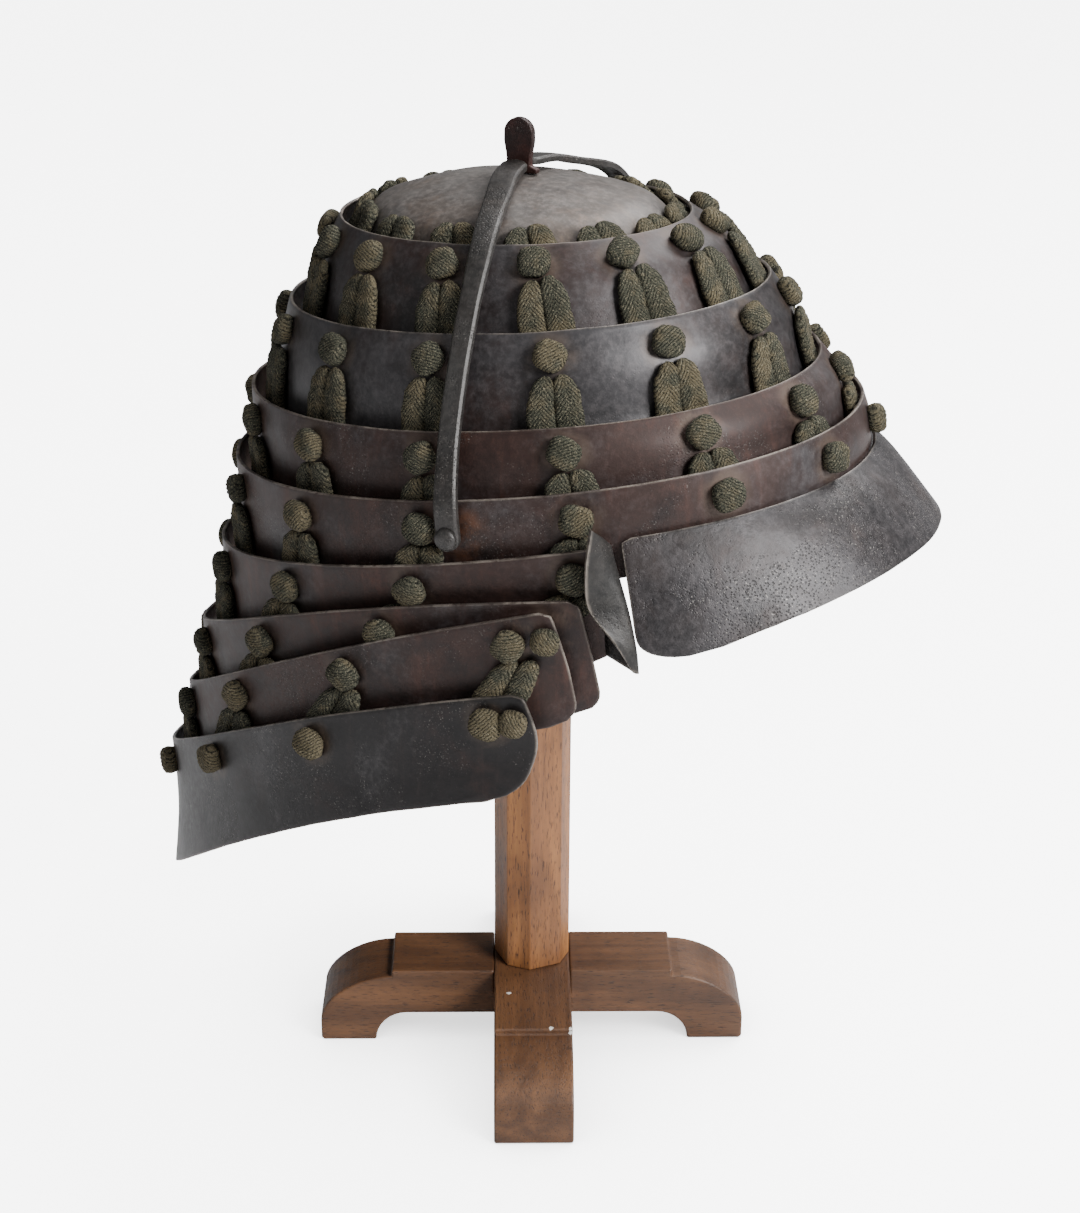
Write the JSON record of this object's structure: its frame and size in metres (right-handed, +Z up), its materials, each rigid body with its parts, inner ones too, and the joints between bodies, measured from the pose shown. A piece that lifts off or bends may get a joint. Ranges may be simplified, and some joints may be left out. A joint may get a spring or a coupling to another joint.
{
  "type": "folding samurai helmet on wooden stand",
  "caption": "Folding iron helmet of laced plates with a visor, a stepped neck guard and two riveted struts, on a plain wooden cross stand.",
  "frame": {"origin": "centre of the whole part's bounding box, on the floor under the stand", "axes": "+X towards the helmet's visor, +Y towards its left side, +Z up"},
  "size_m": [0.2884, 0.2346, 0.3555],
  "materials": {
    "old_iron": "old russet and black iron plate, worn and pitted, with rubbed edges",
    "lacing_cord": "blackish green braided cord with faded olive fibres",
    "dark_iron_fittings": "dark worn iron with a brown bloom",
    "stand_wood": "oiled mid-brown hardwood with short dark pores"
  },
  "bodies": {
    "helmet": {"crown_plate": "old_iron", "bowl_plate_1": "old_iron", "bowl_plate_2": "old_iron", "bowl_plate_3": "old_iron", "bowl_plate_4": "old_iron", "neck_plate_1": "old_iron", "neck_plate_2": "old_iron", "neck_plate_3": "old_iron", "neck_plate_4": "old_iron", "visor": "old_iron", "lacing_right_1": "lacing_cord", "lacing_right_2": "lacing_cord", "lacing_right_3": "lacing_cord", "lacing_right_4": "lacing_cord", "lacing_right_5": "lacing_cord", "lacing_right_6": "lacing_cord", "lacing_right_7": "lacing_cord", "lacing_left_1": "lacing_cord", "lacing_left_2": "lacing_cord", "lacing_left_3": "lacing_cord", "lacing_left_4": "lacing_cord", "lacing_left_5": "lacing_cord", "lacing_left_6": "lacing_cord", "lacing_left_7": "lacing_cord", "rivet_right": "dark_iron_fittings", "rivet_left": "dark_iron_fittings", "crown_tab": "dark_iron_fittings", "stand_bar_lower": "stand_wood", "stand_bar_upper": "stand_wood", "stand_post": "stand_wood"},
    "strut_right": {"strut_right": "dark_iron_fittings"},
    "strut_left": {"strut_left": "dark_iron_fittings"}
  },
  "joints": [
    {"name": "right_strut_hinge", "type": "hinge", "parent": "helmet", "child": "strut_right", "pos_m": [0.01527, -0.0975, 0.24369], "axis": [0, 1, 0], "range_deg": [0, 40]},
    {"name": "left_strut_hinge", "type": "hinge", "parent": "helmet", "child": "strut_left", "pos_m": [0.01527, 0.0976, 0.24369], "axis": [0, 1, 0], "range_deg": [0, 40]}
  ]
}
